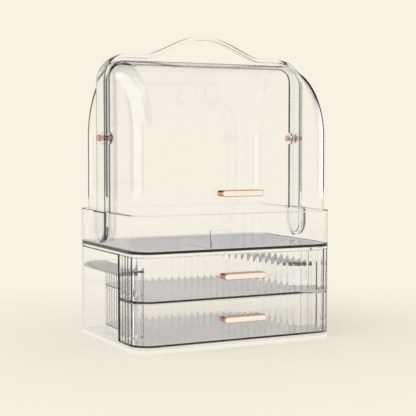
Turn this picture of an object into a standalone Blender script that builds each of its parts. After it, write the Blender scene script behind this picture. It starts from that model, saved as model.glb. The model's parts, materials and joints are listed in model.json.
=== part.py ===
"""Dustproof makeup organizer.

A clear moulded case holds two fluted drawers and carries an open tray. A fixed back cover and a
flip-up front lid close the tray, and a carrying handle comes up from two sockets on the tray's
sides. The handle also carries the two pins that the front lid swings on.

Metres, +Z up. The front faces -Y, and the origin is under the middle of the case.
"""

import math

import bmesh
import bpy
from mathutils import Matrix, Vector

# Clearances shared by several pieces
SEAT_GAP = 0.0003
SLIDE_GAP = 0.0009
OVERRUN = 0.0020

# Case: floor, back and side walls in one moulding
CASE_WIDTH = 0.3000
CASE_DEPTH = 0.2246
CASE_CORNER = 0.0283
CASE_WALL = 0.0030
CASE_FLOOR = 0.0045
LIP_GAP = 0.0006
RUNNER_HEIGHT = 0.0042
RUNNER_WIDTH = 0.0030
RUNNER_LENGTH = 0.1800
RUNNER_SPREAD = 0.0850
RUNNER_SINK = 0.0010

# Side ledges that carry the upper drawer
LEDGE_THICKNESS = 0.0030
LEDGE_GAP = 0.0012

# Drawers
LOWER_FRONT_HEIGHT = 0.0562
UPPER_FRONT_HEIGHT = 0.0590
DRAWER_GAP = 0.0008
DRAWER_WALL = 0.0022
DRAWER_FLOOR = 0.0025
WRAP_LENGTH = 0.0620
WRAP_CORNER = 0.0060
BOX_SIDE_INSET = 0.0347
BOX_BACK_ROOM = 0.0093
BOX_CORNER = 0.0200
BOX_FILLET = 0.0140
UPPER_BOX_HEIGHT = 0.0358
LOWER_BOX_DROP = 0.0015
FLANGE_THICKNESS = 0.0025
FLANGE_SIDE_GAP = 0.0042
FLUTE_PITCH = 0.0093
FLUTE_DEPTH = 0.0013
FLUTE_STEPS = 4

# Tray on top of the case
TRAY_SKIRT = 0.0037
TRAY_FLOOR = 0.0032
TRAY_HEIGHT = 0.0536
TRAY_WALL = 0.0030
PAD_WIDTH = 0.0060
PAD_THICKNESS = 0.0030
PAD_DROP = 0.0025
PAD_SIDE_PLACE = 0.0550
PAD_FRONT_PLACE = 0.0750

# Sockets on the tray's sides
SOCKET_WALL = 0.0027
SOCKET_CHEEK = 0.0057
SOCKET_BOTTOM = 0.0027

# Divider in the tray
DIVIDER_THICKNESS = 0.0020
DIVIDER_PLATE_WIDTH = 0.0305
DIVIDER_PLATE_HEIGHT = 0.0240
DIVIDER_WALL_HEIGHT = 0.0100
DIVIDER_LENGTH = 0.0920
DIVIDER_FRONT_GAP = 0.0070
DIVIDER_PLACE = 0.0400

# Front lid and back cover
PIVOT_RISE = 0.0998
LID_WALL = 0.0025
LID_FRONT_INSET = 0.0068
LID_SIDE_INSET = 0.0040
LID_CORNER = 0.0250
LID_OVERLAP_ANGLE = math.radians(1.5)
COVER_WALL = 0.0025
COVER_NEST = 0.0020
COVER_NEST_TOP = 0.0005
COVER_STEPS = 13
EAR_RADIUS = 0.0085
EAR_RAISE = 0.0003

# Carrying handle
HANDLE_WIDTH = 0.0320
HANDLE_THICKNESS = 0.0060
HANDLE_TUCK = 0.0006
HANDLE_CORNER = 0.0320
HANDLE_CLEARANCE = 0.0045
HANDLE_EDGE = 0.0012
TONGUE_DEPTH = 0.0392
HUMP_RISE = 0.0281
HUMP_HALF = 0.0830
HUMP_STEPS = 14

# Hinge pins and their caps
PIN_RADIUS = 0.0025
PIN_HEAD_RADIUS = 0.0045
PIN_HEAD_THICKNESS = 0.0025
PIN_PLAY = 0.0004
CAP_THICKNESS = 0.0030
CAP_EDGE = 0.0008
CAP_WALL = 0.0012

# Pulls and their screws
PULL_LENGTH = 0.0630
PULL_HEIGHT = 0.0085
PULL_DEPTH = 0.0150
PULL_EDGE = 0.0008
PULL_RISE = 0.0310
LID_PULL_RISE = 0.0268
SCREW_SPREAD = 0.0200
SCREW_RADIUS = 0.0015
SCREW_PLAY = 0.0003
SCREW_BITE = 0.0070
SCREW_HEAD_RADIUS = 0.0034
SCREW_HEAD_THICKNESS = 0.0018

# Roundness of arcs and turned pieces
ARC_STEPS = 8
TURN_STEPS = 20

# Places worked out from the sizes above
half_width = CASE_WIDTH / 2
half_depth = CASE_DEPTH / 2
side_front = half_depth - WRAP_LENGTH
box_half = half_width - BOX_SIDE_INSET
box_back = half_depth - CASE_WALL - BOX_BACK_ROOM
runner_top = CASE_FLOOR + RUNNER_HEIGHT
lower_bottom = runner_top + SEAT_GAP
lip_top = lower_bottom - LIP_GAP
lower_top = lower_bottom + LOWER_FRONT_HEIGHT
upper_bottom = lower_top + DRAWER_GAP
upper_top = upper_bottom + UPPER_FRONT_HEIGHT
case_top = upper_top + SEAT_GAP
tray_bottom = case_top + SEAT_GAP
tray_under = tray_bottom + TRAY_SKIRT
tray_floor_top = tray_under + TRAY_FLOOR
tray_rim = tray_bottom + TRAY_HEIGHT
flange_low = upper_bottom + UPPER_BOX_HEIGHT - FLANGE_THICKNESS
ledge_top = flange_low - SEAT_GAP
pivot_z = tray_rim + PIVOT_RISE
pad_top = tray_rim - PAD_DROP
cover_low = pad_top + SEAT_GAP
lid_half = half_width - LID_SIDE_INSET
lid_radius = half_depth - LID_FRONT_INSET
back_half = lid_half - LID_WALL - COVER_NEST
back_radius = lid_radius - LID_WALL - COVER_NEST_TOP
back_corner = LID_CORNER - LID_WALL - COVER_NEST
handle_inner = half_width - HANDLE_TUCK
handle_outer = handle_inner + HANDLE_THICKNESS
handle_middle = (handle_inner + handle_outer) / 2
handle_half = HANDLE_WIDTH / 2
handle_top_middle = pivot_z + lid_radius + HANDLE_CLEARANCE + HANDLE_THICKNESS / 2
tongue_bottom = tray_rim - TONGUE_DEPTH
bore_radius = PIN_RADIUS + PIN_PLAY
crest = DRAWER_WALL + FLUTE_DEPTH

# Directions that a flat outline can face: its x, its y and its thickness in world axes
FACING_UP = Matrix.Identity(4)
FACING_FRONT = Matrix(((1, 0, 0, 0), (0, 0, -1, 0), (0, 1, 0, 0), (0, 0, 0, 1)))
FACING_RIGHT = Matrix(((0, 0, 1, 0), (1, 0, 0, 0), (0, 1, 0, 0), (0, 0, 0, 1)))
FACING_LEFT = Matrix(((0, 0, -1, 0), (1, 0, 0, 0), (0, -1, 0, 0), (0, 0, 0, 1)))
FACING_BACK = Matrix(((1, 0, 0, 0), (0, 0, 1, 0), (0, -1, 0, 0), (0, 0, 0, 1)))


def clear_scene():
    """Remove every object that the file starts with."""
    for old in list(bpy.data.objects):
        bpy.data.objects.remove(old, do_unlink=True)


def new_collection(name):
    """Make a collection and hang it in the scene."""
    made = bpy.data.collections.new(name)
    bpy.context.scene.collection.children.link(made)
    return made


clear_scene()
organizer = new_collection("makeup_organizer")
cutters = new_collection("cutters")


def finish(name, colour, roughness, metallic=0.0, clear=0.0):
    """A Principled material with the part's colour, roughness, metal and transparency."""
    made = bpy.data.materials.new(name)
    made.use_nodes = True
    shader = made.node_tree.nodes["Principled BSDF"]
    shader.inputs["Base Color"].default_value = (*colour, 1.0)
    shader.inputs["Roughness"].default_value = roughness
    shader.inputs["Metallic"].default_value = metallic
    shader.inputs["Transmission Weight"].default_value = clear
    made.diffuse_color = (*colour, 1.0)
    return made


def clear_plastic(name):
    """Clear moulded polystyrene with a faint cool tint."""
    return finish(name, (0.93, 0.96, 1.0), 0.03, clear=1.0)


def rose_gold(name):
    """Polished metal plated in rose gold."""
    return finish(name, (0.80, 0.45, 0.33), 0.18, metallic=1.0)


def steel(name):
    """Bright zinc-plated steel."""
    return finish(name, (0.72, 0.72, 0.72), 0.30, metallic=1.0)


def keep_as_cutter(thing):
    """Hide a shape that only cuts or joins."""
    thing.hide_render = True
    thing.display_type = "WIRE"


def new_object(name, mesh, place, material=None):
    """Put a mesh in the model with its material, or among the cutters when it has none."""
    thing = bpy.data.objects.new(name, mesh)
    thing.matrix_world = place
    if material is None:
        cutters.objects.link(thing)
        keep_as_cutter(thing)
    else:
        mesh.materials.append(material)
        organizer.objects.link(thing)
    return thing


def smooth(mesh):
    """Round stretches are shaded smooth and real edges stay sharp."""
    mesh.shade_smooth()
    mesh.set_sharp_from_angle(angle=math.radians(35.0))


def slab(name, outline, low, high, facing=FACING_UP, material=None):
    """A flat closed outline, filled and given its thickness from low to high."""
    curve = bpy.data.curves.new(name + "_outline", "CURVE")
    curve.dimensions = "2D"
    curve.fill_mode = "BOTH"
    curve.extrude = (high - low) / 2
    spline = curve.splines.new("POLY")
    spline.points.add(len(outline) - 1)
    for point, (x, y) in zip(spline.points, outline):
        point.co = (x, y, 0.0, 1.0)
    spline.use_cyclic_u = True
    flat = bpy.data.objects.new(name + "_outline", curve)
    flat.matrix_world = facing @ Matrix.Translation((0.0, 0.0, (low + high) / 2))
    bpy.context.scene.collection.objects.link(flat)
    bpy.context.view_layer.update()
    graph = bpy.context.evaluated_depsgraph_get()
    mesh = bpy.data.meshes.new_from_object(flat.evaluated_get(graph))
    mesh.name = name
    place = flat.matrix_world.copy()
    bpy.data.objects.remove(flat, do_unlink=True)
    shape = bmesh.new()
    shape.from_mesh(mesh)
    bmesh.ops.remove_doubles(shape, verts=shape.verts, dist=SEAT_GAP / 100)
    for end in (-1, 1):
        cap = [face for face in shape.faces if all(vert.co.z * end > 0 for vert in face.verts)]
        bmesh.ops.dissolve_faces(shape, faces=cap)
    bmesh.ops.recalc_face_normals(shape, faces=shape.faces)
    shape.to_mesh(mesh)
    shape.free()
    smooth(mesh)
    mesh.materials.clear()
    return new_object(name, mesh, place, material)


def block(name, low, high, material=None):
    """A rectangular block between two corners."""
    size = Vector(high) - Vector(low)
    middle = (Vector(high) + Vector(low)) / 2
    shape = bmesh.new()
    bmesh.ops.create_cube(shape, size=1.0)
    bmesh.ops.scale(shape, vec=size, verts=shape.verts)
    mesh = bpy.data.meshes.new(name)
    shape.to_mesh(mesh)
    shape.free()
    return new_object(name, mesh, Matrix.Translation(middle), material)


def drums(name, radius, spans, facing, centre):
    """Plain cylinders of one radius on one axis, each from a low to a high along it."""
    shape = bmesh.new()
    half_step = Matrix.Rotation(math.pi / TURN_STEPS, 4, "Z")
    for low, high in spans:
        place = Matrix.Translation((0.0, 0.0, (low + high) / 2)) @ half_step
        bmesh.ops.create_cone(
            shape, cap_ends=True, segments=TURN_STEPS, radius1=radius, radius2=radius,
            depth=high - low, matrix=place,
        )
    mesh = bpy.data.meshes.new(name)
    shape.to_mesh(mesh)
    shape.free()
    return new_object(name, mesh, Matrix.Translation(centre) @ facing)


def turned(name, profile, facing, centre, material, closed=False):
    """A profile of (radius, height) points turned about the axis that it faces along."""
    shape = bmesh.new()
    points = [shape.verts.new((radius, 0.0, height)) for radius, height in profile]
    for first, second in zip(points, points[1:]):
        shape.edges.new((first, second))
    if closed:
        shape.edges.new((points[-1], points[0]))
    mesh = bpy.data.meshes.new(name)
    shape.to_mesh(mesh)
    shape.free()
    thing = new_object(name, mesh, Matrix.Translation(centre) @ facing, material)
    turn = thing.modifiers.new("turn", "SCREW")
    turn.steps = TURN_STEPS
    turn.render_steps = TURN_STEPS
    turn.use_merge_vertices = True
    turn.merge_threshold = 0.00001
    turn.use_smooth_shade = True
    return thing


def boolean(thing, tool, operation):
    """Cut one shape from another, or join it on."""
    step = thing.modifiers.new(operation.lower(), "BOOLEAN")
    step.operation = operation
    step.solver = "EXACT"
    step.object = tool
    return step


def cut(thing, tool):
    """Take the tool's shape away."""
    boolean(thing, tool, "DIFFERENCE")


def join(thing, tool):
    """Mould the tool's shape on."""
    boolean(thing, tool, "UNION")


def round_edges(thing, width, segments=2):
    """Break the sharp edges of a moulded or cast piece."""
    edge = thing.modifiers.new("edges", "BEVEL")
    edge.width = width
    edge.segments = segments
    edge.limit_method = "ANGLE"
    edge.angle_limit = math.radians(50.0)
    return edge


def arc(centre_x, centre_y, radius, start, end, steps=ARC_STEPS):
    """Points on an arc between two angles in degrees, both ends kept."""
    turns = [math.radians(start + (end - start) * step / steps) for step in range(steps + 1)]
    return [(centre_x + radius * math.cos(turn), centre_y + radius * math.sin(turn)) for turn in turns]


def rounded_outline(corners):
    """A closed outline through corners given as (x, y, radius), each rounded by a tangent arc."""
    outline = []
    count = len(corners)
    for index, (x, y, radius) in enumerate(corners):
        here = Vector((x, y))
        before = (Vector(corners[index - 1][:2]) - here).normalized()
        after = (Vector(corners[(index + 1) % count][:2]) - here).normalized()
        half_angle = before.angle(after) / 2
        reach = radius / math.tan(half_angle)
        centre = here + (before + after).normalized() * (radius / math.sin(half_angle))
        start = here + before * reach - centre
        end = here + after * reach - centre
        sweep = start.angle_signed(end)
        for step in range(ARC_STEPS + 1):
            spoke = start.copy()
            spoke.rotate(Matrix.Rotation(-sweep * step / ARC_STEPS, 2))
            outline.append(tuple(centre + spoke))
    return outline


def rounded_plate(half_x, low_y, high_y, radius):
    """A rectangle in plan with four equal rounded corners."""
    return rounded_outline((
        (half_x, low_y, radius), (half_x, high_y, radius),
        (-half_x, high_y, radius), (-half_x, low_y, radius),
    ))


def tongue(half, low, high):
    """A strip that stands up, straight at its top and half round at its bottom."""
    return [(half, high), (-half, high)] + arc(0.0, low + half, half, 180.0, 360.0, 2 * ARC_STEPS)


def fluted_inside(outline, wall, pitch, depth):
    """Follow a closed outline inside its wall in round ribs: crests stand in, valleys lie on the wall."""
    points = [Vector(point) for point in outline]
    ring = points + [points[0]]
    travelled = [0.0]
    for first, second in zip(ring, ring[1:]):
        travelled.append(travelled[-1] + (second - first).length)
    flutes = round(travelled[-1] / pitch)
    count = flutes * FLUTE_STEPS
    inside = []
    index = 0
    for step in range(count):
        distance = travelled[-1] * step / count
        while travelled[index + 1] < distance:
            index += 1
        stretch = ring[index + 1] - ring[index]
        here = ring[index] + stretch.normalized() * (distance - travelled[index])
        ahead = point_along(ring, travelled, distance + pitch / FLUTE_STEPS)
        behind = point_along(ring, travelled, distance - pitch / FLUTE_STEPS)
        along = (ahead - behind).normalized()
        inward = Vector((-along.y, along.x))
        rib = depth * abs(math.sin(math.pi * step / FLUTE_STEPS))
        inside.append(tuple(here + inward * (wall + rib)))
    return inside


def point_along(ring, travelled, distance):
    """The point at a distance along a closed ring of points."""
    distance = distance % travelled[-1]
    index = 0
    while travelled[index + 1] < distance:
        index += 1
    stretch = ring[index + 1] - ring[index]
    return ring[index] + stretch.normalized() * (distance - travelled[index])


def make_case():
    """Floor, back and side walls in one moulding, open at the front and at the top."""
    outer = rounded_plate(half_width, -half_depth, half_depth, CASE_CORNER)
    inner = rounded_plate(
        half_width - CASE_WALL, -half_depth + CASE_WALL, half_depth - CASE_WALL, CASE_CORNER - CASE_WALL,
    )
    case = slab("case", outer, 0.0, case_top, material=clear_plastic("case_plastic"))
    cut(case, slab("case_hollow", inner, CASE_FLOOR, case_top + OVERRUN))
    front = block(
        "case_front_way", (-half_width - OVERRUN, -half_depth - OVERRUN, lip_top),
        (half_width + OVERRUN, -side_front + SLIDE_GAP, case_top + OVERRUN),
    )
    cut(case, front)
    for side, name in ((-1, "left"), (1, "right")):
        middle = side * RUNNER_SPREAD
        runner = block(
            name + "_runner", (middle - RUNNER_WIDTH / 2, -RUNNER_LENGTH / 2, CASE_FLOOR - RUNNER_SINK),
            (middle + RUNNER_WIDTH / 2, RUNNER_LENGTH / 2, runner_top),
        )
        join(case, runner)
    return case


def make_ledges():
    """A plate along each side wall that the upper drawer's flange slides on."""
    outer_x = half_width - CASE_WALL - SEAT_GAP
    inner_x = box_half + LEDGE_GAP
    back_y = half_depth - CASE_WALL - SEAT_GAP
    front_y = -side_front + LEDGE_GAP
    fillet = BOX_FILLET - LEDGE_GAP
    radius = CASE_CORNER - CASE_WALL - SEAT_GAP
    plan = arc(inner_x + fillet, front_y + fillet, fillet, 180.0, 270.0)
    plan += [(outer_x, front_y)]
    plan += arc(outer_x - radius, back_y - radius, radius, 0.0, 90.0)
    plan += [(inner_x, back_y)]
    mirrored = [(-x, y) for x, y in reversed(plan)]
    for name, outline in (("right_ledge", plan), ("left_ledge", mirrored)):
        slab(name, outline, ledge_top - LEDGE_THICKNESS, ledge_top, material=clear_plastic(name + "_plastic"))


def drawer_plan():
    """The drawer in plan: a full-width wrapped front with a narrower box behind it."""
    return rounded_outline((
        (half_width, -half_depth, CASE_CORNER), (half_width, -side_front, WRAP_CORNER),
        (box_half, -side_front, BOX_FILLET), (box_half, box_back, BOX_CORNER),
        (-box_half, box_back, BOX_CORNER), (-box_half, -side_front, BOX_FILLET),
        (-half_width, -side_front, WRAP_CORNER), (-half_width, -half_depth, CASE_CORNER),
    ))


def flange_plan():
    """The flange round the box, square where it meets the wraps and rounded at the back."""
    edge = half_width - CASE_WALL - FLANGE_SIDE_GAP
    front = -side_front - DRAWER_WALL / 2
    return rounded_outline((
        (edge, front, DRAWER_WALL / 2), (edge, box_back, BOX_CORNER),
        (-edge, box_back, BOX_CORNER), (-edge, front, DRAWER_WALL / 2),
    ))


def make_drawer(name, low, front_height, box_height, flange):
    """A drawer with ribbed inner faces, open at the top, and lower behind its front."""
    plan = drawer_plan()
    top = low + front_height
    box_top = low + box_height
    drawer = slab(name, plan, low, top, material=clear_plastic(name + "_plastic"))
    if flange:
        rim = slab(name + "_flange", flange_plan(), box_top - FLANGE_THICKNESS, box_top + OVERRUN)
        join(drawer, rim)
    room = fluted_inside(plan, DRAWER_WALL, FLUTE_PITCH, FLUTE_DEPTH)
    cut(drawer, slab(name + "_room", room, low + DRAWER_FLOOR, top + OVERRUN))
    step_y = -side_front - crest - SEAT_GAP
    behind = block(
        name + "_behind", (-half_width - OVERRUN, step_y, box_top),
        (half_width + OVERRUN, half_depth + OVERRUN, top + 2 * OVERRUN),
    )
    cut(drawer, behind)
    cut_screw_ways(drawer, name, low + PULL_RISE, -half_depth, crest)
    return drawer


def cut_screw_ways(thing, name, height, face_y, wall):
    """Two holes through a front wall for the pull's screws."""
    for side, word in ((-1, "left"), (1, "right")):
        hole = drums(
            f"{name}_{word}_way", SCREW_RADIUS + SCREW_PLAY, ((-wall - OVERRUN, OVERRUN),), FACING_FRONT,
            (side * SCREW_SPREAD, face_y, height),
        )
        cut(thing, hole)


def make_pull(name, height, face_y, wall):
    """A pill-shaped bar against a front wall, and the two screws that hold it from inside."""
    radius = PULL_HEIGHT / 2
    reach = PULL_LENGTH / 2 - radius
    outline = arc(reach, 0.0, radius, -90.0, 90.0) + arc(-reach, 0.0, radius, 90.0, 270.0)
    outline = [(x, y + height) for x, y in outline]
    near = -face_y + SEAT_GAP
    pull = slab(name, outline, near, near + PULL_DEPTH, FACING_FRONT, rose_gold(name + "_plating"))
    round_edges(pull, PULL_EDGE)
    pieces = [pull]
    for side, word in ((-1, "left"), (1, "right")):
        centre = (side * SCREW_SPREAD, face_y, height)
        bore = drums(
            f"{name}_{word}_bore", SCREW_RADIUS + SCREW_PLAY, ((0.0, SEAT_GAP + SCREW_BITE + SCREW_PLAY),),
            FACING_FRONT, centre,
        )
        cut(pull, bore)
        under = wall + SEAT_GAP
        head = under + SCREW_HEAD_THICKNESS
        profile = (
            (0.0, head), (SCREW_HEAD_RADIUS - SCREW_HEAD_THICKNESS / 2, head),
            (SCREW_HEAD_RADIUS, under + SCREW_HEAD_THICKNESS / 2), (SCREW_HEAD_RADIUS, under),
            (SCREW_RADIUS, under), (SCREW_RADIUS, -SCREW_BITE), (0.0, -SCREW_BITE),
        )
        screw = f"{name}_{word}_screw"
        pieces.append(turned(screw, profile, FACING_BACK, centre, steel(screw + "_steel")))
    return pieces


def make_tray():
    """The open tray: floor, wall, skirt over the case, rest pads, and a handle socket on each side."""
    outer = rounded_plate(half_width, -half_depth, half_depth, CASE_CORNER)
    inner = rounded_plate(
        half_width - TRAY_WALL, -half_depth + TRAY_WALL, half_depth - TRAY_WALL, CASE_CORNER - TRAY_WALL,
    )
    tray = slab("tray", outer, tray_bottom, tray_rim, material=clear_plastic("tray_plastic"))
    slot_half = handle_half + SEAT_GAP
    slot_low = tongue_bottom - SEAT_GAP
    for name, facing in (("right", FACING_RIGHT), ("left", FACING_LEFT)):
        flip = 1 if name == "right" else -1
        body = tongue(slot_half + SOCKET_CHEEK, slot_low - SOCKET_BOTTOM, tray_rim)
        body = [(y, flip * z) for y, z in body]
        outside = handle_outer + SEAT_GAP + SOCKET_WALL
        join(tray, slab(name + "_socket", body, half_width - TRAY_WALL / 2, outside, facing))
        slot = tongue(slot_half, slot_low, tray_rim + OVERRUN)
        slot = [(y, flip * z) for y, z in slot]
        cutter = slab(name + "_slot", slot, handle_inner - SEAT_GAP, handle_outer + SEAT_GAP, facing)
        cut(tray, cutter)
    cut(tray, slab("tray_hollow", inner, tray_floor_top, tray_rim + OVERRUN))
    cut(tray, slab("tray_recess", inner, tray_bottom - OVERRUN, tray_under))
    for index, (low, high) in enumerate(rest_pads()):
        join(tray, block(f"rest_pad_{index}", low, high))
    return tray


def rest_pads():
    """Small pads just under the rim that the lid and the back cover stand on."""
    wall_x = half_width - TRAY_WALL / 2
    wall_y = half_depth - TRAY_WALL / 2
    pads = []
    for side in (-1, 1):
        for reach, place in ((lid_half - LID_WALL, -PAD_SIDE_PLACE), (back_half - COVER_WALL, PAD_SIDE_PLACE)):
            ends = sorted((side * reach, side * wall_x))
            low = (ends[0], place - PAD_WIDTH / 2, pad_top - PAD_THICKNESS)
            pads.append((low, (ends[1], place + PAD_WIDTH / 2, pad_top)))
        for reach, way in ((lid_radius - LID_WALL, -1), (back_radius - COVER_WALL, 1)):
            ends = sorted((way * reach, way * wall_y))
            middle = side * PAD_FRONT_PLACE
            low = (middle - PAD_WIDTH / 2, ends[0], pad_top - PAD_THICKNESS)
            pads.append((low, (middle + PAD_WIDTH / 2, ends[1], pad_top)))
    return pads


def make_divider():
    """A loose divider: an upright plate at the tray's front and a low wall running back from it."""
    low = tray_floor_top + SEAT_GAP
    front = -half_depth + TRAY_WALL + DIVIDER_FRONT_GAP
    divider = block(
        "tray_divider", (-DIVIDER_PLACE, front, low),
        (-DIVIDER_PLACE + DIVIDER_PLATE_WIDTH, front + DIVIDER_THICKNESS, low + DIVIDER_PLATE_HEIGHT),
        clear_plastic("tray_divider_plastic"),
    )
    wall = block(
        "divider_wall", (-DIVIDER_PLACE, front + DIVIDER_THICKNESS / 2, low),
        (-DIVIDER_PLACE + DIVIDER_THICKNESS, front + DIVIDER_LENGTH, low + DIVIDER_WALL_HEIGHT),
    )
    join(divider, wall)
    return divider


def cover_profile(half, radius, corner):
    """Plan of a cover from one free side edge round its face to the other, as distances from the pins."""
    face = arc(half - corner, radius - corner, corner, 0.0, 90.0)
    other = [(-x, y) for x, y in reversed(face)]
    return [(half, 0.0)] + face + other + [(-half, 0.0)]


def make_cover(name, half, radius, corner, wall, way, sweep):
    """A cover: its plan drawn up to the pins' height, then swung a quarter turn about them."""
    shape = bmesh.new()
    line = [shape.verts.new((x, way * y, cover_low)) for x, y in cover_profile(half, radius, corner)]
    edges = [shape.edges.new(pair) for pair in zip(line, line[1:])]
    drawn = bmesh.ops.extrude_edge_only(shape, edges=edges)["geom"]
    raised = [part for part in drawn if isinstance(part, bmesh.types.BMVert)]
    bmesh.ops.translate(shape, verts=raised, vec=(0.0, 0.0, pivot_z - cover_low))
    swung = [part for part in drawn if not isinstance(part, bmesh.types.BMFace)]
    swung = [part for part in swung if part in raised or set(getattr(part, "verts", ())) <= set(raised)]
    bmesh.ops.spin(
        shape, geom=swung, cent=(0.0, 0.0, pivot_z), axis=(way, 0.0, 0.0), angle=sweep, steps=COVER_STEPS,
    )
    bmesh.ops.remove_doubles(shape, verts=shape.verts, dist=SEAT_GAP / 100)
    bmesh.ops.recalc_face_normals(shape, faces=shape.faces)
    middle = Vector((0.0, 0.0, (cover_low + pivot_z) / 2))
    if sum((face.calc_center_median() - middle).dot(face.normal) * face.calc_area() for face in shape.faces) < 0:
        bmesh.ops.reverse_faces(shape, faces=shape.faces)
    mesh = bpy.data.meshes.new(name)
    shape.to_mesh(mesh)
    shape.free()
    smooth(mesh)
    cover = new_object(name, mesh, Matrix.Identity(4), clear_plastic(name + "_plastic"))
    shell = cover.modifiers.new("wall", "SOLIDIFY")
    shell.thickness = wall
    shell.offset = -1.0
    shell.use_even_offset = True
    near = half - wall - EAR_RAISE
    far = half + EAR_RAISE
    join(cover, drums(name + "_ears", EAR_RADIUS, ((near, far), (-far, -near)), FACING_RIGHT, (0, 0, pivot_z)))
    cut(cover, drums(name + "_bores", bore_radius, ((-far - OVERRUN, far + OVERRUN),), FACING_RIGHT, (0, 0, pivot_z)))
    return cover


def handle_stations():
    """Half of the handle's middle line as (x, z, half width), from the tongue's tip to the top."""
    stations = []
    for x, z in arc(0.0, tongue_bottom + handle_half, handle_half, -75.0, 0.0, ARC_STEPS // 2):
        stations.append((handle_middle, z, x))
    turn_x = handle_middle - HANDLE_CORNER
    turn_z = handle_top_middle - HANDLE_CORNER
    for x, z in arc(turn_x, turn_z, HANDLE_CORNER, 0.0, 90.0):
        stations.append((x, z, handle_half))
    for step in range(HUMP_STEPS + 1):
        x = HUMP_HALF * (1 - step / HUMP_STEPS)
        rise = HUMP_RISE * (1 + math.cos(math.pi * x / HUMP_HALF)) / 2
        stations.append((x, handle_top_middle + rise, handle_half))
    return stations


def make_handle():
    """A flat strip bent round over the covers, with a raised grip and a round tongue at each foot."""
    shape = bmesh.new()
    stations = handle_stations()
    front = [shape.verts.new((x, -half, z)) for x, z, half in stations]
    edges = [shape.edges.new(pair) for pair in zip(front, front[1:])]
    drawn = bmesh.ops.extrude_edge_only(shape, edges=edges)["geom"]
    for part in drawn:
        if isinstance(part, bmesh.types.BMVert):
            part.co.y = -part.co.y
    bmesh.ops.recalc_face_normals(shape, faces=shape.faces)
    mesh = bpy.data.meshes.new("handle")
    shape.to_mesh(mesh)
    shape.free()
    handle = new_object("handle", mesh, Matrix.Identity(4), clear_plastic("handle_plastic"))
    twin = handle.modifiers.new("other_half", "MIRROR")
    twin.merge_threshold = SEAT_GAP / 100
    strip = handle.modifiers.new("thickness", "SOLIDIFY")
    strip.thickness = HANDLE_THICKNESS
    strip.offset = 0.0
    strip.use_even_offset = True
    round_edges(handle, HANDLE_EDGE)
    far = handle_outer + OVERRUN
    cut(handle, drums("handle_bores", bore_radius, ((-far, far),), FACING_RIGHT, (0.0, 0.0, pivot_z)))
    return handle


def make_pins():
    """On each side a headed pin from inside, a clear spacer under the handle, and a cap outside."""
    inner = back_half - COVER_WALL - EAR_RAISE - SEAT_GAP
    cap_low = handle_outer + SEAT_GAP
    cap_high = cap_low + CAP_THICKNESS
    cap_floor = cap_high - CAP_WALL
    pin = (
        (0.0, cap_floor - SEAT_GAP), (PIN_RADIUS, cap_floor - SEAT_GAP), (PIN_RADIUS, inner),
        (PIN_HEAD_RADIUS, inner), (PIN_HEAD_RADIUS, inner - PIN_HEAD_THICKNESS + CAP_EDGE),
        (PIN_HEAD_RADIUS - CAP_EDGE, inner - PIN_HEAD_THICKNESS), (0.0, inner - PIN_HEAD_THICKNESS),
    )
    cap = (
        (0.0, cap_high), (PIN_HEAD_RADIUS - CAP_EDGE, cap_high), (PIN_HEAD_RADIUS, cap_high - CAP_EDGE),
        (PIN_HEAD_RADIUS, cap_low), (PIN_RADIUS + SEAT_GAP, cap_low), (PIN_RADIUS + SEAT_GAP, cap_floor),
        (0.0, cap_floor),
    )
    low = lid_half + EAR_RAISE + SEAT_GAP
    high = handle_inner - SEAT_GAP
    spacer = ((EAR_RADIUS, high), (EAR_RADIUS, low), (bore_radius, low), (bore_radius, high))
    for side, facing in (("right", FACING_RIGHT), ("left", FACING_LEFT)):
        centre = (0.0, 0.0, pivot_z)
        turned(side + "_hinge_pin", pin, facing, centre, rose_gold(side + "_pin_plating"))
        turned(side + "_pin_cap", cap, facing, centre, rose_gold(side + "_cap_plating"))
        turned(side + "_spacer", spacer, facing, centre, clear_plastic(side + "_spacer_plastic"), closed=True)


def hang_from(name, place, pieces):
    """Hang moving pieces from an empty on their joint's axis."""
    axis = bpy.data.objects.new(name, None)
    axis.location = place
    organizer.objects.link(axis)
    bpy.context.view_layer.update()
    for piece in pieces:
        piece.parent = axis
        piece.matrix_parent_inverse = axis.matrix_world.inverted()


make_case()
make_ledges()
make_tray()
make_cover("back_cover", back_half, back_radius, back_corner, COVER_WALL, 1, math.pi / 2)
make_handle()
make_pins()

lid_sweep = math.pi / 2 + LID_OVERLAP_ANGLE
front_lid = make_cover("front_lid", lid_half, lid_radius, LID_CORNER, LID_WALL, -1, lid_sweep)
lid_pull_z = tray_rim + LID_PULL_RISE
cut_screw_ways(front_lid, "front_lid", lid_pull_z, -lid_radius, LID_WALL)
hang_from("lid_hinge", (0.0, 0.0, pivot_z), [front_lid] + make_pull("lid_pull", lid_pull_z, -lid_radius, LID_WALL))

upper_drawer = make_drawer("upper_drawer", upper_bottom, UPPER_FRONT_HEIGHT, UPPER_BOX_HEIGHT, True)
upper_pieces = make_pull("upper_pull", upper_bottom + PULL_RISE, -half_depth, crest)
hang_from("upper_drawer_slide", (0.0, 0.0, upper_bottom), [upper_drawer] + upper_pieces)

lower_box_height = LOWER_FRONT_HEIGHT - LOWER_BOX_DROP
lower_drawer = make_drawer("lower_drawer", lower_bottom, LOWER_FRONT_HEIGHT, lower_box_height, False)
lower_pieces = make_pull("lower_pull", lower_bottom + PULL_RISE, -half_depth, crest)
hang_from("lower_drawer_slide", (0.0, 0.0, lower_bottom), [lower_drawer] + lower_pieces)

hang_from("divider_lift", (-DIVIDER_PLACE, 0.0, tray_floor_top), [make_divider()])
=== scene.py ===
# %% [markdown]
# # A clear makeup organizer
# The object is almost nothing but clear plastic, so its look is made of edges: each rim, corner
# and rib bends the light of the room, and the broad faces stay nearly invisible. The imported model
# gives every size and place. This script dresses it: smooth moulded shells with rounded rims and
# ribs, plated pulls and pins, and a soft cream studio around them.

# %% Load the fixed frame
import json

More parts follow.
